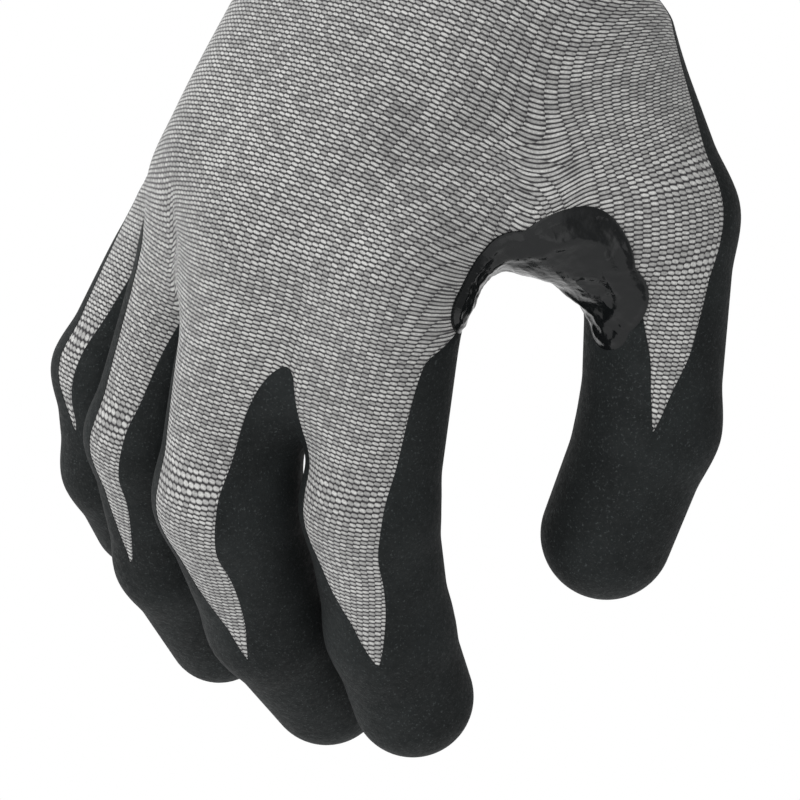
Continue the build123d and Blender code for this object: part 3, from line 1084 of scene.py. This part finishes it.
def cord_mesh(name, path, radius, material):
    """A closed loop of round yarn along a path."""
    sides = YARN_SIDES
    ahead = unit_rows(np.roll(path, -1, 0) - np.roll(path, 1, 0))
    side = unit_rows(np.cross(ahead, (path - path.mean(0)) * (1, 1, 0)))
    other = np.cross(side, ahead)
    angle = (np.arange(sides) / sides * 2 * math.pi)[None, :, None]
    ring = side[:, None] * np.cos(angle) + other[:, None] * np.sin(angle)
    verts = (path[:, None] + ring * radius).reshape(-1, 3)
    count = len(path)
    i, k = (v.ravel() for v in np.meshgrid(np.arange(count), np.arange(sides), indexing="ij"))
    j, m = (i + 1) % count, (k + 1) % sides
    faces = np.stack((i * sides + k, i * sides + m, j * sides + m, j * sides + k), 1)
    return make_mesh(name, verts / MM, faces, None, None, material)


skin = make_skin()
add_skin(skin)
add_patch(skin)
add_cuff()
add_hem()

# Camera, light and floor
AZIMUTH, ELEVATION, ROLL = math.radians(41.1), math.radians(-0.4), math.radians(25.8)
WRIST = np.array((0.0, 0.0, -52.0))
AIM = (-17.98, -104.21)
DISTANCE = 900.0
SEEN_WIDTH = 140.35
SENSOR = 36.0
DIM_SIDE = 0.3  # the studio is this bright on the thumb's side
DIM_FROM_TO = (0.12, 0.8)
FLOOR_HALF, FLOOR_Z = 3.0, -0.6
# Lights: name, metres to the right of, above and in front of the glove, width in metres, power in watts
LIGHTS = (
    ("key", (-0.7, 0.8, 0.7), 0.6, 5.0),
    ("side", (0.9, 0.15, 0.25), 0.5, 0.6),
    ("front", (0.0, -0.2, 1.3), 0.8, 1.0),
    ("glint", (-0.35, 0.75, 0.9), 0.05, 0.7),
)


def add_camera():
    forward = np.array((
        -math.sin(AZIMUTH) * math.cos(ELEVATION), math.cos(AZIMUTH) * math.cos(ELEVATION), -math.sin(ELEVATION)
    ))
    level = np.array((math.cos(AZIMUTH), math.sin(AZIMUTH), 0.0))
    upright = np.cross(level, forward)
    right = math.cos(ROLL) * level + math.sin(ROLL) * upright
    up = -math.sin(ROLL) * level + math.cos(ROLL) * upright
    depth = np.array((0.0, 0.0, -110.0)) @ forward - DISTANCE
    place = WRIST + AIM[0] * right + AIM[1] * up + depth * forward
    data = bpy.data.cameras.new("camera")
    data.sensor_width = SENSOR
    data.lens = data.sensor_width * DISTANCE / SEEN_WIDTH
    data.clip_start, data.clip_end = 0.05, 20.0
    camera = bpy.data.objects.new("camera", data)
    matrix = np.eye(4)
    matrix[:3, 0], matrix[:3, 1], matrix[:3, 2], matrix[:3, 3] = right, up, -forward, place / MM
    camera.matrix_world = Matrix(matrix.tolist())
    bpy.context.scene.collection.objects.link(camera)
    bpy.context.scene.camera = camera
    return right, up, forward


def add_light(name, where, target, width, power):
    data = bpy.data.lights.new(name, "AREA")
    data.size = width
    data.energy = power
    light = bpy.data.objects.new(name, data)
    light.location = where
    light.rotation_mode = "QUATERNION"
    light.rotation_quaternion = (Vector(target) - Vector(where)).to_track_quat("-Z", "Y")
    bpy.context.scene.collection.objects.link(light)


right, up, forward = add_camera()
centre = Vector((0.0, 0.01, -0.13))


def from_camera(r, u, f):
    """A point given by its offsets in metres to the right, up and towards the camera, from the glove."""
    return centre + Vector(right) * r + Vector(up) * u - Vector(forward) * f


def add_world():
    """A white studio that is dimmer on the thumb's side."""
    world = bpy.data.worlds.new("studio")
    world.use_nodes = True
    bpy.context.scene.world = world
    nodes, links = world.node_tree.nodes, world.node_tree.links
    background = nodes["Background"]
    background.inputs["Color"].default_value = (1, 1, 1, 1)
    towards = nodes.new("ShaderNodeVectorMath")
    towards.operation = "DOT_PRODUCT"
    towards.inputs[1].default_value = tuple(right)
    links.new(nodes.new("ShaderNodeTexCoord").outputs["Generated"], towards.inputs[0])
    dimmed = nodes.new("ShaderNodeMapRange")
    dimmed.interpolation_type = "SMOOTHSTEP"
    for socket, value in zip(dimmed.inputs, (0.0, *DIM_FROM_TO, 1.0, DIM_SIDE)):
        socket.default_value = value
    links.new(towards.outputs["Value"], dimmed.inputs[0])
    links.new(dimmed.outputs[0], background.inputs["Strength"])


def add_floor():
    shader = Shader("floor")
    glow = shader.node("ShaderNodeEmission", Color=(1.0, 1.0, 1.0), Strength=1.0)
    shader.tree.links.new(glow, shader.out.inputs["Surface"])
    signs = ((-1, -1), (1, -1), (1, 1), (-1, 1))
    corners = np.array([(x * FLOOR_HALF, y * FLOOR_HALF, FLOOR_Z) for x, y in signs])
    floor = make_mesh("floor", corners, np.array(((0, 1, 2, 3),)), None, None, shader.material)


for name, offsets, width, power in LIGHTS:
    add_light(name, from_camera(*offsets), centre, width, power)
add_world()
add_floor()
bpy.context.scene.view_settings.view_transform = "Standard"
